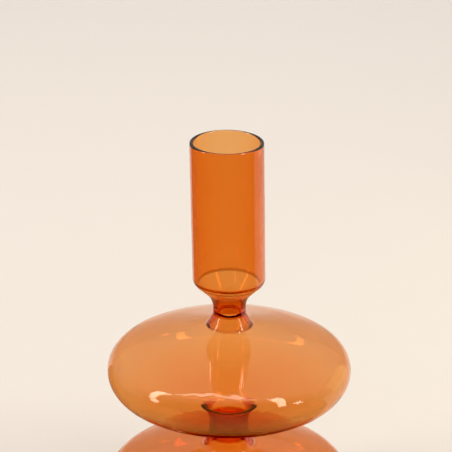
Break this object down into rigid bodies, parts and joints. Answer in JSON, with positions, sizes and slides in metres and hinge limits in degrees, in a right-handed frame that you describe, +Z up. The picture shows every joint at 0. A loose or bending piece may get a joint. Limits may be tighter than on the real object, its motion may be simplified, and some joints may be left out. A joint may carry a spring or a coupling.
{
  "type": "bud vase",
  "caption": "Amber blown-glass bud vase: a candle-sized cup on a drawn-in neck above flattened round bubbles, hollow from rim to base.",
  "frame": {"origin": "centre of the foot, on the surface that the vase stands on", "axes": "+Z up along the vase's axis, out of the cup's mouth; X and Y are free, because the vase is round"},
  "size_m": [0.091, 0.091, 0.148],
  "materials": {
    "cup_glass": "clear amber, fire-polished",
    "neck_glass": "clear amber, fire-polished",
    "upper_disc_glass": "clear amber, fire-polished",
    "waist_glass": "clear amber, fire-polished",
    "lower_disc_glass": "clear amber, fire-polished",
    "base_glass": "clear amber, fire-polished"
  },
  "bodies": {
    "root": {"cup": "cup_glass", "neck": "neck_glass", "upper_disc": "upper_disc_glass", "waist": "waist_glass", "lower_disc": "lower_disc_glass", "base": "base_glass"}
  },
  "joints": []
}
